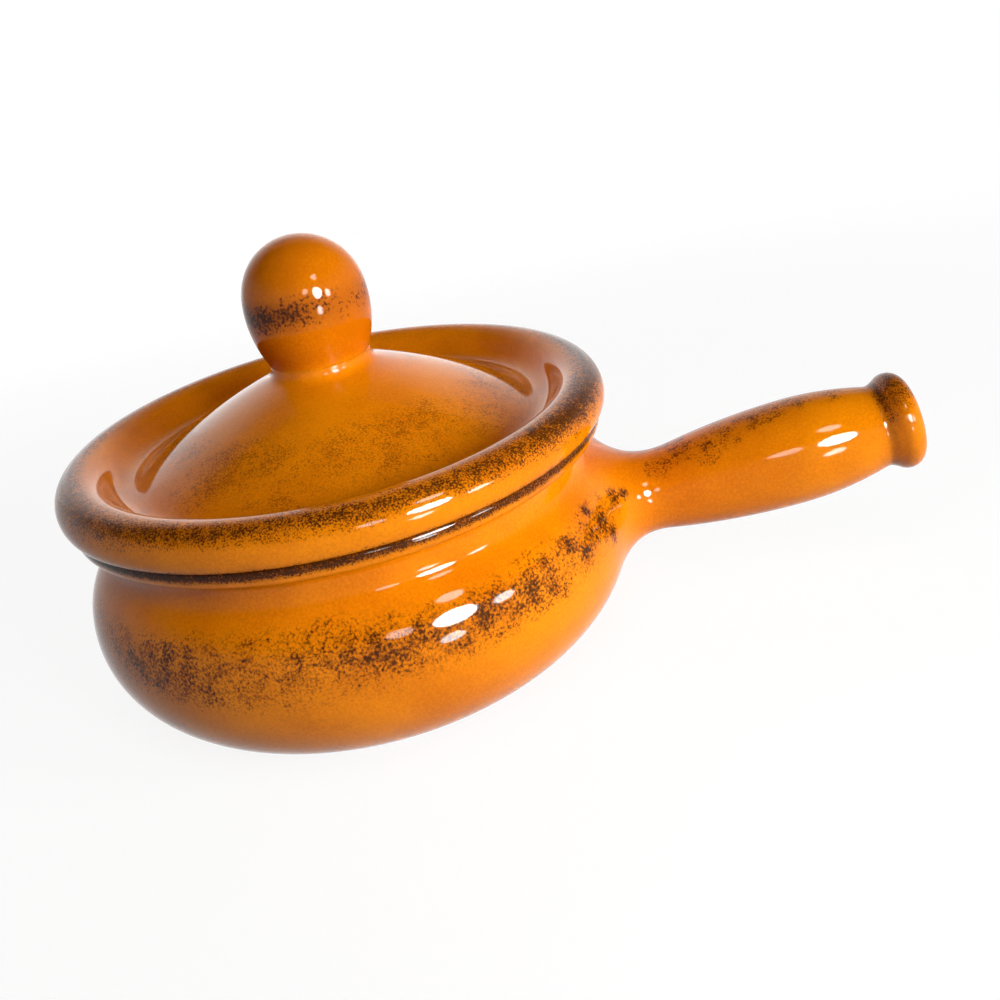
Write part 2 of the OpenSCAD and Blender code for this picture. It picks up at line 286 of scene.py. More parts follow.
share = (JOINT_HEIGHT - over_lid[joint - 1, 1]) / (over_lid[joint, 1] - over_lid[joint - 1, 1])
joint_point = over_lid[joint - 1] + share * (over_lid[joint] - over_lid[joint - 1])
print("joint radius", round(float(joint_point[0]), 2), "mm")

# %% Turn the lid and the knob
under_lid = glazed_outline(chain(
    (VENT_RADIUS, CEILING_HEIGHT),
    (CEILING_RADIUS, CEILING_HEIGHT),
    arc(DOME_CENTRE, DOME_RADIUS - DOME_WALL,
        angle_of(DOME_CENTRE, (CEILING_RADIUS, CEILING_HEIGHT)),
        angle_of(DOME_CENTRE, (PLUG_INNER, -PLUG_DEPTH)), 40),
    arc((PLUG_RADIUS - PLUG_ROUND, PLUG_ROUND - PLUG_DEPTH), PLUG_ROUND, -90, 0, 12),
    (PLUG_RADIUS, 0.0)))
lid_outline = chain(over_lid[:joint], joint_point, (VENT_RADIUS, JOINT_HEIGHT), under_lid[:-1])
lid, lid_strips = skin("lid_cover", turned(lid_outline + [0, SEAT], WIDE_SIDES), closed=True)

KNOB_SIDES = 112
cavity_foot = -math.degrees(math.acos(VENT_RADIUS / CAVITY_RADIUS))
cavity = chain((VENT_RADIUS, JOINT_HEIGHT), arc(CAVITY_CENTRE, CAVITY_RADIUS, cavity_foot, 90, 30))
cavity[-1, 0] = 0
knob_outline = chain(over_lid[joint:][::-1], joint_point, cavity)
knob, knob_strips = skin("lid_knob", turned(knob_outline + [0, SEAT], KNOB_SIDES))

# %% [markdown]
# ## The handle
# The handle is a hollow barrel that swells in the grip, pinches to a crease and ends in a bead
# with an open mouth. At the root the potter wets the joint and draws the clay out until the barrel
# flows into the belly. Two distances make that shape: how far a point is from the belly and how
# far from the barrel. Where both are small they melt into one, which leaves a hollow that is
# tangent to both surfaces. Joining meshes with a boolean and bevelling the seam would show a line
# in the gloss.

# %% Distances to the belly and the barrel
TILT, AXIS_HEIGHT = math.radians(9.8), 13.9
BARREL_RADIUS, BARREL_MIDDLE = 13.4, 114.0
BARREL_LONG, BARREL_END = 187.0, 78.0
CREASE, HANDLE_END = 136.0, 144.6
BEAD_CENTRE, BEAD_RADIUS = (8.5, 140.8), 3.8
MOUTH_BORE, MOUTH_LIP = 6.4, 1.05
BORE_RADIUS, BORE_START, BORE_WIDE, BORE_NARROW = 7.6, 76.0, 92.0, 128.0


def handle_point(along, off, turn):
    """Points at a distance along the handle's axis, off the axis and turned around it."""
    lift = off * np.sin(turn)
    return np.stack([along * math.cos(TILT) - lift * math.sin(TILT), off * np.cos(turn) + 0 * along,
                     AXIS_HEIGHT + along * math.sin(TILT) + lift * math.cos(TILT)], -1)


def barrel_radius(along):
    """The barrel's radius at a distance along the axis."""
    curve = np.where(along < BARREL_MIDDLE, BARREL_LONG, BARREL_END)
    return BARREL_RADIUS - curve + np.sqrt(curve ** 2 - (along - BARREL_MIDDLE) ** 2)


def belly_distance(point):
    """How far points lie outside the belly and the leaning shoulder."""
    radius, height = np.hypot(point[..., 0], point[..., 1]), point[..., 2]

    def round_about(centre, curve):
        return np.hypot(radius - centre[0], height - centre[1]) - curve

    out, up = radius - shoulder_centre[0], height - shoulder_centre[1]
    leaning = out * math.cos(lean) + up * math.sin(lean) - SHOULDER_CURVE
    turned_up = np.arctan2(height - side_centre[1], radius - side_centre[0])
    upper = np.where(np.arctan2(up, out) < lean,
                     round_about(shoulder_centre, SHOULDER_CURVE), leaning)
    upper = np.where(turned_up < math.radians(SIDE_END),
                     round_about(side_centre, SIDE_CURVE), upper)
    return np.where(height < BELLY_HEIGHT, round_about(low_centre, LOW_CURVE), upper)


SPREAD, SPREAD_ABOVE, SPREAD_LESS = 14.6, 2.4, 1.6


def spread(turn):
    """How far the drawn-out clay reaches, most above the handle and least below it."""
    return SPREAD + SPREAD_ABOVE * np.sin(turn) - SPREAD_LESS * np.sin(turn) ** 2


def melted(along, off, turn):
    """The distance to belly and barrel melted together, below zero inside the clay."""
    belly = belly_distance(handle_point(along, off, turn))
    barrel = off - barrel_radius(along)
    overlap = np.clip(spread(turn) - np.abs(belly - barrel), 0, None)
    return np.minimum(belly, barrel) - overlap ** 2 / (4 * spread(turn))


def belly_reach(off, turn, nearest=40.0, farthest=100.0, halvings=40):
    """Distance along the axis where a line beside it leaves the belly."""
    near, far = np.full_like(off, nearest), np.full_like(off, farthest)
    for _ in range(halvings):
        middle = (near + far) / 2
        inside_belly = belly_distance(handle_point(middle, off, turn)) < 0
        near, far = np.where(inside_belly, middle, near), np.where(inside_belly, far, middle)
    return (near + far) / 2


WAIST = 82.0
print("barrel at the waist", round(float(barrel_radius(np.array(WAIST))), 2), "mm")

# %% [markdown]
# The root's rings come from looking out of a point in the open hollow of the fillet, once for each
# angle round the handle, and stopping each line of sight where it meets the melted surface. The
# last ring dips a hair under the belly, and a cap inside the wall closes the skin.

# %% Rings of the handle
SIDES = 144
BESIDE_AXIS, HOLLOW_OUT, HOLLOW_OFF, HOLLOW_SINK = 10.0, 12, 24, 1.5
turn = np.linspace(0, 2 * np.pi, SIDES, endpoint=False)
hollow_along = belly_reach(np.full(SIDES, BESIDE_AXIS), turn) + HOLLOW_OUT
hollow_off = HOLLOW_OFF - HOLLOW_SINK * (1 - np.sin(turn))


def line_of_sight(angle, longest=45.0, halvings=50):
    """Where lines from the hollow at these angles meet the melted surface."""
    near, far = np.zeros(SIDES), np.full(SIDES, longest)
    for _ in range(halvings):
        middle = (near + far) / 2
        open_air = melted(hollow_along + middle * np.cos(angle),
                          hollow_off + middle * np.sin(angle), turn) > 0
        near, far = np.where(open_air, middle, near), np.where(open_air, far, middle)
    return hollow_along + near * np.cos(angle), hollow_off + near * np.sin(angle)


GRIP_SIDE, BELLY_SIDE, BELLY_SIDE_END, SIGHT_STEP = -66, -205, -100, 0.5
ROOT_RINGS, TIP_DIP = 56, 0.05
first, last = np.radians(GRIP_SIDE), np.full(SIDES, np.radians(BELLY_SIDE))
for angle in np.radians(np.arange(BELLY_SIDE, BELLY_SIDE_END, SIGHT_STEP)):
    along, off = line_of_sight(angle)
    last = np.where(off - barrel_radius(along) > spread(turn), angle, last)
root_rings = [line_of_sight(first + part * (last - first))
              for part in np.linspace(0, 1, ROOT_RINGS)]
tip = root_rings[-1]
tip_ring = (tip[0] - TIP_DIP, tip[1])
print("the root reaches", round(float(tip[1].max()), 1), "mm from the axis")

# %% Cap inside the wall
CAP_DEPTH, CAP_PARTS = 2.2, (0.98, 0.9, 0.7, 0.45, 0.2)
cap_rings = []
for part in CAP_PARTS:
    cap_off = tip[1] * part
    cap_rings.append((belly_reach(cap_off, turn) - CAP_DEPTH, cap_off))
centre_along = float(belly_reach(np.zeros(1), np.zeros(1))[0]) - CAP_DEPTH
print("the cap's middle is", round(centre_along, 1), "mm along the axis")

# %% [markdown]
# Past the root the handle is turned again, so an outline is enough: the swelling grip, the crease,
# the bead round the end, its open mouth and the bore back to the root. Cutting the bore with a
# boolean would leave long thin faces at the mouth, where the light catches them.

# %% Outline of the grip, bead and bore
GRIP_GAP = 1.0
start_along = float(root_rings[0][0].max()) + GRIP_GAP
grip = np.linspace(start_along, CREASE, 60)
grip_outline = chain(
    np.stack([barrel_radius(grip), grip], 1),
    arc(BEAD_CENTRE, BEAD_RADIUS, -50, 90, 30),
    arc((MOUTH_BORE + MOUTH_LIP, HANDLE_END - MOUTH_LIP), MOUTH_LIP, 90, 180, 12),
    (MOUTH_BORE, CREASE), (BORE_RADIUS, BORE_NARROW), (BORE_RADIUS, BORE_WIDE),
    (MOUTH_BORE, BORE_START + 1), (0, BORE_START))
grip_outline = glazed_outline(grip_outline, blur=0.4, fine=0.05)
grip_outline[-1, 0] = 0
print("grip, bead and bore", len(grip_outline), "rings")

# %% Join the rings into the handle
whole_ring = np.zeros(SIDES)
rings = [handle_point(np.array([centre_along]), np.zeros(1), np.zeros(1))]
rings += [handle_point(along, off, turn) for along, off in cap_rings[::-1] + [tip_ring]]
rings += [handle_point(along, off, turn) for along, off in root_rings[-2::-1]]
rings += [handle_point(whole_ring + along, whole_ring + off, turn)
          for off, along in grip_outline[:-1]]
rings.append(handle_point(np.array([BORE_START]), np.zeros(1), np.zeros(1)))
handle, handle_strips = skin("side_handle", rings)

# %% [markdown]
# ## Each skin stands for its member
# The measured members stay in the model for weight and contact, and the skins take their place in
# pictures. The bowl and the handle are one fired piece, and so are the lid and its knob, so each
# pair rides on one body.

# %% Hang the skins on the frame
for piece, member, body in ((bowl, "bowl", "bowl_body"), (handle, "handle", "bowl_body"),
                            (lid, "lid", "lid_body"), (knob, "knob", "lid_body")):
    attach(piece, body)
    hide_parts(member)
    low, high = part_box(member)
    print(member, [round(x / MM, 1) for x in (*low, *high)])

# %% [markdown]
# ## Writing a glaze as sums
# A glaze is a recipe of masks: where the dark speckle was dabbed on, how thick the coat lies, how
# glossy it fired. In Blender that is a tree of nodes. A small class keeps the tree readable: it
# wraps one socket, so that ordinary sums on it add Math nodes, and one method adds every other
# kind of node.

# %% A value on its way through a material
class Flow:
    """One socket of a material's tree. Sums with it add Math nodes."""

    def __init__(self, tree, socket=None):
        self.tree, self.socket = tree, socket

    def node(self, kind, settings=None, sockets=None, out=0):
        """Adds a node: its type, its settings, then its sockets' values or links."""
        made = self.tree.nodes.new("ShaderNode" + kind)
        for name, value in (settings or {}).items():
            if name == "stops":
                ramp = made.color_ramp.elements
                while len(ramp) < len(value):
                    ramp.new(0.5)
                for stop, (place, colour) in zip(ramp, value):
                    stop.position, stop.color = place, colour
            else:
                setattr(made, name, value)
        for name, value in (sockets or {}).items():
            if isinstance(value, Flow):
                self.tree.links.new(value.socket, made.inputs[name])
            else:
                made.inputs[name].default_value = value
        return Flow(self.tree, made.outputs[out] if made.outputs else None)

    def sum(self, operation, *values):
        """Adds a Math node."""
        return self.node("Math", {"operation": operation}, dict(enumerate(values)))

    def __add__(self, other):
        return self.sum("ADD", self, other)

    def __sub__(self, other):
        return self.sum("SUBTRACT", self, other)

    def __rsub__(self, other):
        return self.sum("SUBTRACT", other, self)

    def __mul__(self, other):
        return self.sum("MULTIPLY", self, other)

    def __truediv__(self, other):
        return self.sum("DIVIDE", self, other)

    def __rtruediv__(self, other):
        return self.sum("DIVIDE", other, self)

    def __abs__(self):
        return self.sum("ABSOLUTE", self)

    __radd__, __rmul__ = __add__, __mul__

    def rise(self, start, end):
        """0 at start and 1 at end, with a soft step between."""
        return self.node("MapRange", {"interpolation_type": "SMOOTHSTEP"},
                         {"Value": self, "From Min": start, "From Max": end})

    def near(self, centre, reach):
        """1 at centre, fading to 0 at a distance of reach."""
        return abs(self - centre).rise(reach, 0)

    def ramp(self, stops):
        """A grey value read off a list of (place, value) stops."""
        return self.node("ValToRGB", {"stops": [(p, (v, v, v, 1)) for p, v in stops]},
                         {"Fac": self})

    def mixed(self, under, over):
        """The colour under where this mask is 0 and over where it is 1."""
        return self.node("Mix", {"data_type": "RGBA"}, {0: self, 6: under, 7: over}, out=2)


print("masks can be written as sums, such as 1 - mask")

# %% [markdown]
# ## Places on the pot
# Bands on a pot follow height and angle. The Object output of Texture Coordinate gives a place in
# the pot's own frame, which stays with the piece when the lid is lifted. In millimetres, it splits
# into radius, height and the angle round the axis as a share of a full turn.

# %% Read a place
def position(tree):
    """The place on a piece in mm."""
    start = Flow(tree)
    spot = start.node("TexCoord", out=3)
    return start.node("VectorMath", {"operation": "SCALE"}, {0: spot, "Scale": 1 / MM})


def places(tree):
    """Position, radius, height, the share of a turn from opposite the handle, and x."""
    spot = position(tree)
    x = spot.node("SeparateXYZ", sockets={0: spot})
    y = Flow(tree, x.socket.node.outputs[1])
    z = Flow(tree, x.socket.node.outputs[2])
    radius = spot.sum("SQRT", x * x + y * y)
    share = spot.sum("ARCTAN2", y, x) / (2 * math.pi) + 0.5
    return spot, radius, z, share, x


def cloud(spot, size, detail=2.0, rough=0.55, shift=0.0):
    """Noise with blots of about that size in mm, centred on one half."""
    moved = spot.node("VectorMath", {"operation": "ADD"},
                      {0: spot, 1: (shift, 2 * shift, 3 * shift)})
    return spot.node("TexNoise", sockets={"Vector": moved, "Scale": 1 / size, "Detail": detail,
                                          "Roughness": rough})


CAMERA_SIDE = -80
print("the camera's side of the belly is at", round(CAMERA_SIDE / 360 + 0.5, 3), "of a turn")

# %% [markdown]
# ## Dabbed speckle
# The dark speckle is iron and manganese sponged over the amber coat before firing. Up close it is
# a mass of dots under a millimetre that run together where the sponge was wet. Noise cut softly at
# a level gives such dots: the level drops where the dabbing was dense, so dots grow, join and close
# up. The same noise cut a little lower gives the brown halo where the oxide bled into the amber,
# and a thin wash of it stains the amber between the dots.

# %% Speckle from density
CLUMP_SIZE, CLUMP_SHIFT = 6, 40
BARE_LEVEL, DENSE_GAIN = 0.72, 0.3
CORE_EDGE, HALO_EDGE, FIRST_DOTS = (-0.08, 0.23), (-0.2, 0.09), (0.03, 0.2)


def darkest(first, *others):
    """The strongest of several masks at each point."""
    for other in others:
        first = first.sum("MAXIMUM", first, other)
    return first


def dots(spot, density, size, shift, clumping=0.4, wash=0.15):
    """Dark cores and brown halos of dots about that size in mm, for a density from 0 to 1."""
    grain = cloud(spot, size, detail=1.6, rough=0.5, shift=shift)
    clump = cloud(spot, size * CLUMP_SIZE, rough=0.5, shift=shift + CLUMP_SHIFT)
    level = grain + (clump - 0.5) * clumping - BARE_LEVEL + density * DENSE_GAIN
    some = density.rise(*FIRST_DOTS)
    core = level.rise(*CORE_EDGE) * some
    return core, darkest(level.rise(*HALO_EDGE) * some, density * wash)


def dab(spot, centre, reach):
    """One touch of the sponge: 1 at a centre in mm, gone at a distance of reach."""
    distance = spot.node("VectorMath", {"operation": "DISTANCE"},
                         {0: spot, 1: tuple(centre)}, out=1)
    return distance.rise(reach, 0)


print("in a dense dab, noise above", round(BARE_LEVEL - DENSE_GAIN, 2), "makes a dot")

# %% [markdown]
# ## The amber coat
# The coat itself is a transparent amber glaze over pale clay. It is yellower where it is thin and
# redder where it pooled, with fine mottling all over. It fires to a high gloss, but the oxide dots
# stay a little dull, which shows where a dark dot breaks up a highlight. A very shallow bump keeps
# reflections from looking machined. Real glaze has an index of refraction of about 1.5. In this
# white room it would lay a pale veil over the amber, so the index is set lower.

# %% Coat and gloss
THIN_AMBER, THICK_AMBER = (0.91, 0.268, 0.001, 1), (0.62, 0.147, 0.001, 1)
BROWN_OXIDE_AND_SHADE, DARK_OXIDE_AND_SHADE = (0.26, 0.055, 0.003, 1), (0.028, 0.010, 0.003, 1)
GLOSS, DULL, COAT_IOR = 0.05, 0.07, 1.2
POOLING, FLECKING, THICKNESS, KNOB_SHADE_THICK = 0.4, 0.6, 0.3, 0.35
HALO_STRENGTH, CORE_STRENGTH = 0.75, 0.88
SWELL_HEIGHT, RIPPLE_HEIGHT = 0.05, 0.003


def blank_material(name):
    """A material with an empty tree."""
    material = bpy.data.materials.new(name)
    material.use_nodes = True
    material.node_tree.nodes.clear()
    return material


def amber_coat(name, marks, knob_shade_above=None):
    """A glaze material whose dark cores and brown halos come from marks(places); some of these
    marks are painted shade.
    """
    material = blank_material(name)
    spot, radius, height, *rest = places(material.node_tree)
    pool = cloud(spot, 24, detail=3.0, shift=11).rise(0.28, 0.74)
    fleck = cloud(spot, 0.6, detail=1.0, rough=0.5, shift=23)
    thick = pool * POOLING + (fleck - 0.5) * FLECKING + THICKNESS
    # Above that height the coat is made thicker and so darker: painted shade on the knob against
    # the light from above.
    if knob_shade_above:
        thick = thick + height.rise(knob_shade_above, knob_shade_above + 4) * KNOB_SHADE_THICK
    amber = thick.rise(0, 1).mixed(THIN_AMBER, THICK_AMBER)
    # The brown and dark colours serve both for oxide and for painted shade in the marks.
    core, halo = marks(spot, radius, height, *rest)
    stained_and_shaded = (halo * HALO_STRENGTH).mixed(amber, BROWN_OXIDE_AND_SHADE)
    colour = (core * CORE_STRENGTH).mixed(stained_and_shaded, DARK_OXIDE_AND_SHADE)
    swell = cloud(spot, 13, detail=1.0, shift=5) * SWELL_HEIGHT
    ripple = cloud(spot, 1.6, shift=7) * RIPPLE_HEIGHT
    bump = spot.node("Bump", {}, {"Strength": 1.0, "Distance": MM, "Height": swell + ripple})
    shader = spot.node("BsdfPrincipled", sockets={
        "Base Color": colour, "Roughness": GLOSS + core * (DULL - GLOSS), "IOR": COAT_IOR,
        "Normal": bump})
    spot.node("OutputMaterial", sockets={"Surface": shader})
    print(name, len(material.node_tree.nodes), "nodes")
    return material


# %% [markdown]
# ## Where the bowl was dabbed
# The sponge went round the upper belly in dabs, heavy in some places and missed in others, and
# once more along the lip under the lid; that dark line is also painted shade of the gap under the
# lid, heaviest on the left. On the handle a few dabs landed on top near the root, and oxide
# gathered in the crease behind the bead and on the bead's top, with a brown wash all round the
# crease that is painted shade. A ramp over the angle holds how heavily each part of the belly was
# dabbed.

# %% Bowl and handle glaze
BELLY_DABS = [(0.0, 0.6), (0.05, 0.85), (0.1, 0.45), (0.14, 0.5), (0.175, 0.9), (0.195, 0.75),
              (0.215, 0.35), (0.24, 0.4), (0.262, 0.62), (0.29, 0.78), (0.32, 0.75), (0.347, 1.0),
              (0.378, 1.0), (0.4, 0.42), (0.425, 0.36), (0.45, 0.3), (0.475, 0.0), (0.53, 0.0),
              (0.57, 0.85), (0.64, 0.5), (0.72, 0.9), (0.8, 0.55), (0.88, 0.9), (1.0, 0.6)]
DUST_DABS = [(0.0, 0.8), (0.28, 1.0), (0.34, 0.7), (0.39, 0.25), (0.45, 0.0), (0.55, 0.1),
             (0.65, 0.8), (1.0, 0.8)]
# The lip's ramp also holds painted shade: the gap under the lid is darkest on the left.
LIP_DABS_AND_SHADE = [(0.0, 1.0), (0.22, 1.0), (0.32, 0.88), (0.44, 0.85), (0.5, 0.8), (0.75, 0.9),
            (1.0, 1.0)]
ROOT_DABS = [((66.2, -15.0, 34.9), 4.2), ((62.8, -25.0, 33.9), 6.0), ((65.0, -23.4, 30.0), 4.4),
             ((59.9, -30.9, 34.2), 5.2), ((59.3, -27.0, 38.2), 2.8), ((54.7, -37.7, 36.0), 4.4),
             ((58.3, -35.5, 32.3), 4.6), ((68.8, -12.6, 34.2), 2.8)]
HANDLE_DABS = [(81.4, 122, 5.5), (88, 112, 6), (93.5, 120, 7), (99.5, 108, 7), (105.6, 100, 7),
               (111, 95, 7), (118, 92, 6), (126, 90, 6), (86, 75, 7), (97, 62, 7)]
BELLY_BAND, BELLY_DUST = (33.6, 8.6), (32.5, 11)
CREASE_BAND, CREASE_PAINTED_SHADE = (137.2, 2.4), (136.6, 1.8)


def bowl_marks(spot, radius, height, share, x):
    """Where oxide and painted shade lie on the outside of the bowl and on the handle."""
    drift = (cloud(spot, 30, shift=61) - 0.5) * 8
    sunk = height + drift + x.rise(-15, -45) * 2
    belly = sunk.near(*BELLY_BAND) * share.ramp(BELLY_DABS) * radius.rise(76, 71) * 1.06
    dust = sunk.near(*BELLY_DUST) * share.ramp(DUST_DABS) * radius.rise(78, 71) * 0.42
    # The dark line along the lip is partly oxide and partly painted shade of the gap under the lid.
    lip_oxide_and_shade = height.rise(52.5, 54.0) * radius.rise(58, 60) * share.ramp(LIP_DABS_AND_SHADE) * 1.5
    along = x * math.cos(TILT) + (height - AXIS_HEIGHT) * math.sin(TILT)
    above = (height - AXIS_HEIGHT) * math.cos(TILT) - x * math.sin(TILT)
    touches = []
    for place, angle, reach in HANDLE_DABS:
        centre = handle_point(place, float(barrel_radius(np.array(place))), math.radians(angle))
        touches.append(dab(spot, centre, reach))
    root = [dab(spot, centre, reach) for centre, reach in ROOT_DABS]
    crease = along.near(*CREASE_BAND) * above.rise(1, 9)
    bead = along.rise(136.5, 138.5) * above.rise(5, 12)
    layers = [dots(spot, belly, 0.6, 0, clumping=0.6),
              dots(spot, darkest(*root) * 1.25, 0.7, 57, wash=0.3),
              dots(spot, darkest(*touches) * 0.54, 0.5, 41, clumping=0.7, wash=0.4),
              dots(spot, darkest(lip_oxide_and_shade, crease * 1.15, bead * 0.95), 0.36, 13, wash=0.85)]
    faint = dots(spot, dust, 0.5, 9)
    # Painted shade: a brown wash all round the crease behind the bead.
    crease_painted_shade = along.near(*CREASE_PAINTED_SHADE) * 0.55
    return (darkest(faint[0] * 0.5, *(core for core, _ in layers)),
            darkest(crease_painted_shade, faint[1] * 0.8, *(halo for _, halo in layers)))


bowl_glaze = amber_coat("bowl_amber_glaze", bowl_marks)

# %% [markdown]
# ## Where the lid was dabbed
# The lid carries a dense band on the outer shoulder of its rolled rim and a thin one along the
# rim's lower edge, which is partly oxide and partly painted shade of the gap above the lip, heavier
# on the left. It also has a loose dusting round the lower dome that stayed brown, and a short band
# round the widest part of the knob.

# %% Lid and knob glaze
KNOB_DABS = [(0.0, 0.7), (0.08, 0.95), (0.16, 0.95), (0.255, 1.0), (0.285, 0.7), (0.33, 0.45),
             (0.42, 0.35), (0.5, 0.6), (0.62, 0.9), (0.75, 0.6), (0.88, 0.95), (1.0, 0.7)]
# The band along the rim's lower edge is partly oxide and partly painted shade.
KNOB_BAND, DOME_DUST, EDGE_BAND_AND_SHADE = (35.3, 5.6), (39, 15), (-34, 26)
RIM_BAND_ANGLE, RIM_BAND_REACH = 59, 46


def lid_marks(spot, radius, height, share, x):
    """Where oxide and painted shade lie on the lid and the knob."""
    up = height - SEAT
    wander = (cloud(spot, 22, shift=31) - 0.5) * 36
    rim_angle = spot.sum("ARCTAN2", up - RIM_CENTRE[1], radius - RIM_CENTRE[0]) * (180 / math.pi)
    wider = abs(x - 5).rise(20, 60) * 28
    rim = (rim_angle + wander).near(RIM_BAND_ANGLE, RIM_BAND_REACH + wider)
    rim = rim * radius.rise(58.5, 61) * (1 + x.rise(40, 66) * 0.5)
    # The line along the rim's lower edge is partly oxide and partly painted shade of the gap above
    # the lip, heavier on the left.
    edge = rim_angle.near(*EDGE_BAND_AND_SHADE) * radius.rise(59, 61) * (0.5 + x.rise(10, -50) * 0.35)
    patch = cloud(spot, 14, shift=17).rise(0.42, 0.68)
    dome = radius.near(*DOME_DUST) * (0.25 + patch * 0.75) * up.rise(22, 16) * up.rise(0, 3)
    knob_band = (up + wander * 0.06).near(*KNOB_BAND)
    knob_band = knob_band * radius.rise(17, 15.5) * share.ramp(KNOB_DABS)
    layers = [dots(spot, darkest(rim, edge), 0.38, 3, wash=0.5),
              dots(spot, knob_band * 1.08, 0.75, 15, clumping=0.6, wash=1.0)]
    dust = dots(spot, dome * 0.8, 0.42, 21)
    return (darkest(*(core for core, _ in layers), dust[0] * 0.45),
            darkest(*(halo for _, halo in layers), dust[1] * 0.7))


# The knob's deeper amber is painted shade.
lid_glaze = amber_coat("lid_amber_glaze", lid_marks, knob_shade_above=SEAT + 20)

# %% [markdown]
# ## Inside glaze and bare foot
# The inside has the plain amber coat with only stray dots. The foot stands on the kiln shelf, so
# its flat face is wiped clean and shows the bare buff clay.

# %% Inner coat and clay
def stray_marks(spot, *_):
    """A few stray dots anywhere."""
    return dots(spot, cloud(spot, 20, shift=91).rise(0.45, 0.8) * 0.3, 0.45, 27)


inner_glaze = amber_coat("inner_amber_glaze", stray_marks)
PALE_CLAY, DARK_CLAY = (0.60, 0.39, 0.22, 1), (0.42, 0.24, 0.12, 1)


def bare_clay(name):
    """Buff clay without glaze, gritty and dull."""
    material = blank_material(name)
    spot = position(material.node_tree)
    grit = cloud(spot, 0.7, detail=4.0, shift=2)
    tone = (cloud(spot, 9, shift=4) * 0.5 + grit * 0.5).rise(0.3, 0.7)
    colour = tone.mixed(DARK_CLAY, PALE_CLAY)
    bump = spot.node("Bump", {}, {"Strength": 1.0, "Distance": MM, "Height": grit * 0.08})
    shader = spot.node("BsdfPrincipled", sockets={
        "Base Color": colour, "Roughness": 0.8 + grit * 0.15, "Normal": bump})
    spot.node("OutputMaterial", sockets={"Surface": shader})
    return material


clay = bare_clay("bare_buff_clay")
print("materials", sorted(material.name for material in bpy.data.materials))

# %% [markdown]
# ## Which coat lies where
# Each strip of faces between two rings takes one finish. On the bowl the clay ends at the edge of
# the foot and the inner coat starts just past the top of the lip, so the border hides under the
# lid. Painting a mask by hand would do, but the strips already follow the form.

# %% Coat the pieces
def coat(piece, strips, *finishes):
    """Finishes are (material, first strip); each holds from its first strip on."""
    for material, _ in finishes:
        piece.data.materials.append(material)
    index = np.zeros(len(strips), int)
    for place, (_, first) in enumerate(finishes):
        index[strips >= first] = place
    piece.data.polygons.foreach_set("material_index", index)
    piece.data.update()
    print(piece.name, [int((index == place).sum()) for place in range(len(finishes))], "faces")


JUST_OFF, LIP_STRIPS = 0.02, 6
foot_end = int(np.argmax(bowl_outline[:, 1] > JUST_OFF))
lip_inner = int(np.argmax(bowl_outline[:, 1] > LIP_TOP - 0.05)) + LIP_STRIPS
coat(bowl, bowl_strips, (clay, 0), (bowl_glaze, foot_end), (inner_glaze, lip_inner))
coat(handle, handle_strips, (bowl_glaze, 0))
coat(lid, lid_strips, (lid_glaze, 0))
coat(knob, knob_strips, (lid_glaze, 0))

# %% [markdown]
# ## Floor and room
# The pot stands on a plain pale floor before a white backdrop. A real white paper would need as
# much light as the pot itself to look white, so the floor and the room show a white of their own
# to the camera and to reflections, while the pot is lit at a plain level. The floor keeps a share
# of real light in that white, which is what its shadow shows up in. The room is white all round,
# highest where the sheet sweeps up behind the pot, and dark overhead.

# %% Floor
def seen(start):
    """1 where a surface is looked at, also in a mirror or through glass, 0 where it gives light."""
    path = start.node("LightPath").socket.node.outputs
    looks = [Flow(start.tree, path[name])
             for name in ("Is Camera Ray", "Is Glossy Ray", "Is Transmission Ray")]
    return darkest(*looks)


def grey(value):
    """A grey colour."""
    return value, value, value, 1


PAPER, NEAR_WHITE, LIT_SHARE = grey(0.35), grey(0.88), grey(0.16)
NEAR, FAR = 0.15, 0.9


def pale_floor(name):
    """Paper that throws plain light back and shows a white of its own."""
    material = blank_material(name)
    start = Flow(material.node_tree)
    paper = start.node("BsdfDiffuse", sockets={"Color": PAPER})
    spot = start.node("TexCoord", out=3)
    away = start.node("VectorMath", {"operation": "LENGTH"}, {0: spot}, out=1)
    tone = away.rise(NEAR, FAR).mixed(NEAR_WHITE, grey(1))
    glow = start.node("Emission", sockets={"Color": tone, "Strength": 1.0})
    lit = start.node("BsdfDiffuse", sockets={"Color": LIT_SHARE})
    white = start.node("AddShader", sockets={0: glow, 1: lit})
    look = start.node("MixShader", sockets={0: seen(start), 1: paper, 2: white})
    start.node("OutputMaterial", sockets={"Surface": look})
    return material


HALF = 4.0
corners = [(-HALF, -HALF, 0), (HALF, -HALF, 0), (HALF, HALF, 0), (-HALF, HALF, 0)]
floor_mesh = bpy.data.meshes.new("floor")
floor_mesh.from_pydata(corners, [], [(0, 1, 2, 3)])
floor = bpy.data.objects.new("floor", floor_mesh)
floor_mesh.materials.append(pale_floor("pale_floor"))
bpy.context.scene.collection.objects.link(floor)
print("floor", 2 * HALF, "m wide")

# %% Room
SHEET_TURN, DIM_ROOM = math.radians(105), grey(0.03)
SHEET_SIDE = (math.cos(SHEET_TURN), math.sin(SHEET_TURN), 0)


def toward_sheet(heading):
    """1 for directions toward the sheet behind the pot, fading to 0 at its sides."""
    ahead = heading.node("VectorMath", {"operation": "DOT_PRODUCT"},
                         {0: heading, 1: SHEET_SIDE}, out=1)
    return ahead.rise(0.25, 0.85)


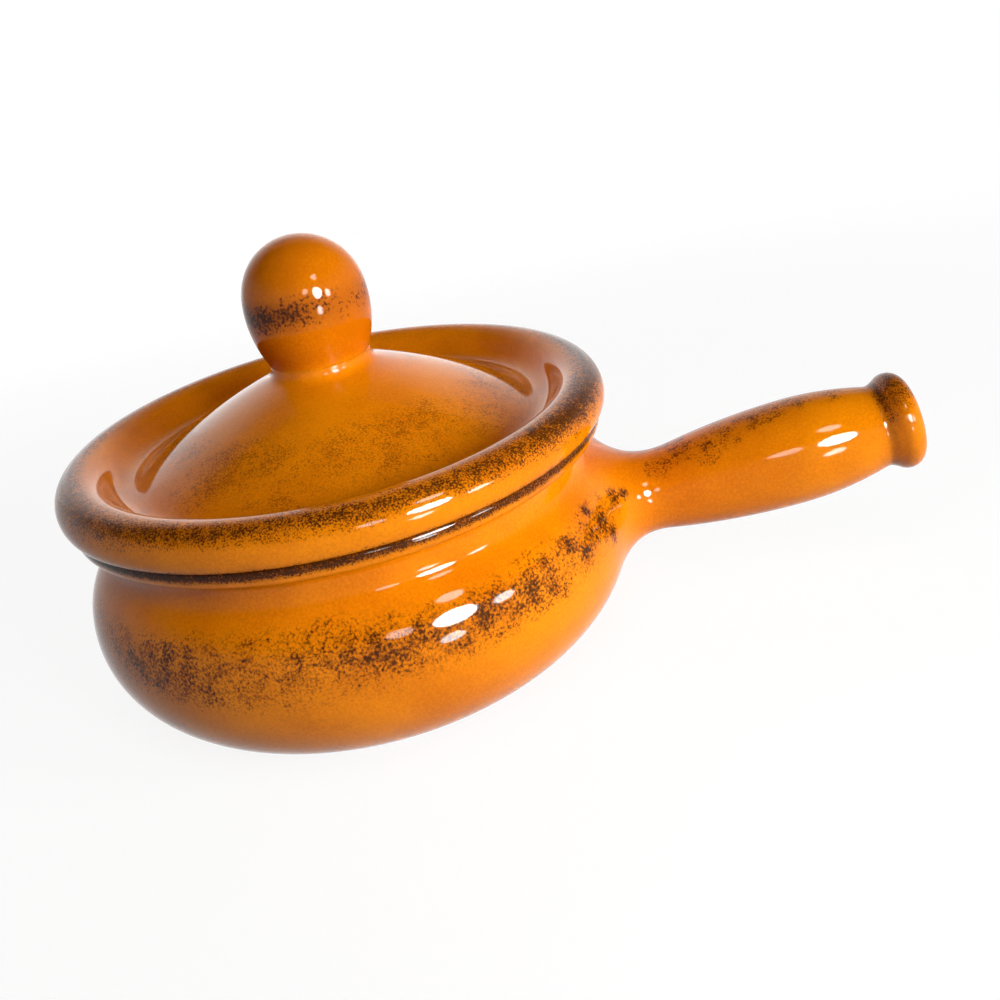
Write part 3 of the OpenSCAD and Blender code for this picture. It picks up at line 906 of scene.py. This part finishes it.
world = bpy.data.worlds.new("room")
bpy.context.scene.world = world
world.use_nodes = True
world.node_tree.nodes.clear()
start = Flow(world.node_tree)
toward = start.node("TexCoord", out=0)
overhead = start.node("SeparateXYZ", sockets={0: toward}, out=2)
white = darkest(toward_sheet(toward) * overhead.rise(0.75, 0.5), overhead.rise(0.6, 0.2))
sheet = white.mixed(DIM_ROOM, grey(1))
soft_light = start.node("Background", sockets={"Color": DIM_ROOM, "Strength": 1.0})
shown = start.node("Background", sockets={"Color": sheet, "Strength": 1.0})
room = start.node("MixShader", sockets={0: seen(start), 1: soft_light, 2: shown})
start.node("OutputWorld", sockets={"Surface": room})
print("room", len(world.node_tree.nodes), "nodes")

# %% [markdown]
# ## Lamps
# The lamp is a small round panel at the camera's right with a grid before it, which keeps its
# light on the near side of the pot. A stronger twin just before it and four small flaps about it
# show only in the gloss, which repeats the lamp as one bright spot with four soft ones round it.
# Two lamps in one plane would hide each other from the gloss, so they stand a few millimetres
# apart. Wide panels behind the pot light its back and give the lid its pale sheen. Four of
# different widths, one behind the other, fade toward the edge, so that the gloss shows no hard
# line. Panels at the handle's side and overhead only fill the shade, and stay out of the gloss.

# %% Lamps
LAMP_PLACE, LAMP_AIM = Vector((0.233, -0.280, 0.173)), Vector((0.06, -0.05, 0.02))
LAMP_WIDTH, FLAP_WIDTH, LAMP_SPREAD, APART = 0.106, 0.066, 80, 0.004
FLAPS = ((0.137, -13, 0.88), (0.160, 82, 0.42), (0.135, 165, 0.34), (0.148, 260, 0.78))
BACK_PLACE = Vector((-0.16, 0.60, 0.25))
BACK_PANELS = ((1.25, 1.15), (0.95, 0.66), (0.66, 0.32), (0.38, 0.1))
POT_MIDDLE = Vector((0, 0, 0.03))


def panel(name, place, aim, width, power):
    """A round lamp at a place, facing a point, which the camera itself never sees."""
    lamp = bpy.data.lights.new(name, "AREA")
    lamp.shape, lamp.size, lamp.energy = "DISK", width, power
    holder = bpy.data.objects.new(name, lamp)
    holder.location = place
    holder.rotation_euler = (place - aim).to_track_quat("Z", "Y").to_euler()
    holder.visible_camera = False
    bpy.context.scene.collection.objects.link(holder)
    return holder


key = panel("key_panel", LAMP_PLACE, LAMP_AIM, LAMP_WIDTH, 0.121)
key.data.spread = math.radians(LAMP_SPREAD)
before_key = LAMP_PLACE + (LAMP_AIM - LAMP_PLACE).normalized() * APART
shine = panel("key_shine", before_key, LAMP_AIM, LAMP_WIDTH, 4.4)
shine.visible_diffuse = False
bpy.context.view_layer.update()
for number, (reach, angle, power) in enumerate(FLAPS):
    around = math.radians(angle)
    place = key.matrix_world @ Vector((reach * math.cos(around), reach * math.sin(around), 0))
    flap = panel(f"key_flap_{number}", place, LAMP_AIM, FLAP_WIDTH, power)
    flap.visible_diffuse = False
side_fill = panel("side_fill", Vector((0.60, -0.22, 0.03)), Vector((0.05, 0, 0.03)), 0.4, 5.9)
top_fill = panel("top_fill", Vector((-0.04, -0.32, 0.55)), POT_MIDDLE, 0.5, 0.85)
for number, (width, power) in enumerate(BACK_PANELS):
    place = BACK_PLACE + Vector((0, number * APART, 0))
    panel(f"back_panel_{number}", place, POT_MIDDLE, width, power)
for fill in (side_fill, top_fill):
    fill.visible_glossy = False

# %% [markdown]
# ## Camera
# The picture was taken from a hand's breadth above the lid, a little to the handle's side, and
# then turned by ten degrees. The camera's own axes are written out as three directions, which keep
# that turn without stacking up rotations.

# %% Camera
RIGHT = Vector((0.98585, 0.03023, -0.16486))
UP = Vector((0.13875, 0.40460, 0.90391))
AHEAD = Vector((-0.09402, 0.91399, -0.39469))
PLACE_MM = Vector((63.877, -211.346, 135.040))
SENSOR, FOCAL_SHARE = 36, 0.89934
lens = bpy.data.cameras.new("camera")
lens.sensor_width, lens.lens = SENSOR, FOCAL_SHARE * SENSOR
lens.shift_x, lens.shift_y = -0.01069, -0.04759
camera = bpy.data.objects.new("camera", lens)
axes = Matrix((RIGHT, UP, -AHEAD)).transposed().to_4x4()
camera.matrix_world = Matrix.Translation(PLACE_MM * MM) @ axes
bpy.context.scene.collection.objects.link(camera)
bpy.context.scene.camera = camera
bpy.context.scene.view_settings.view_transform = "Standard"
print("lens", round(lens.lens, 2), "mm")
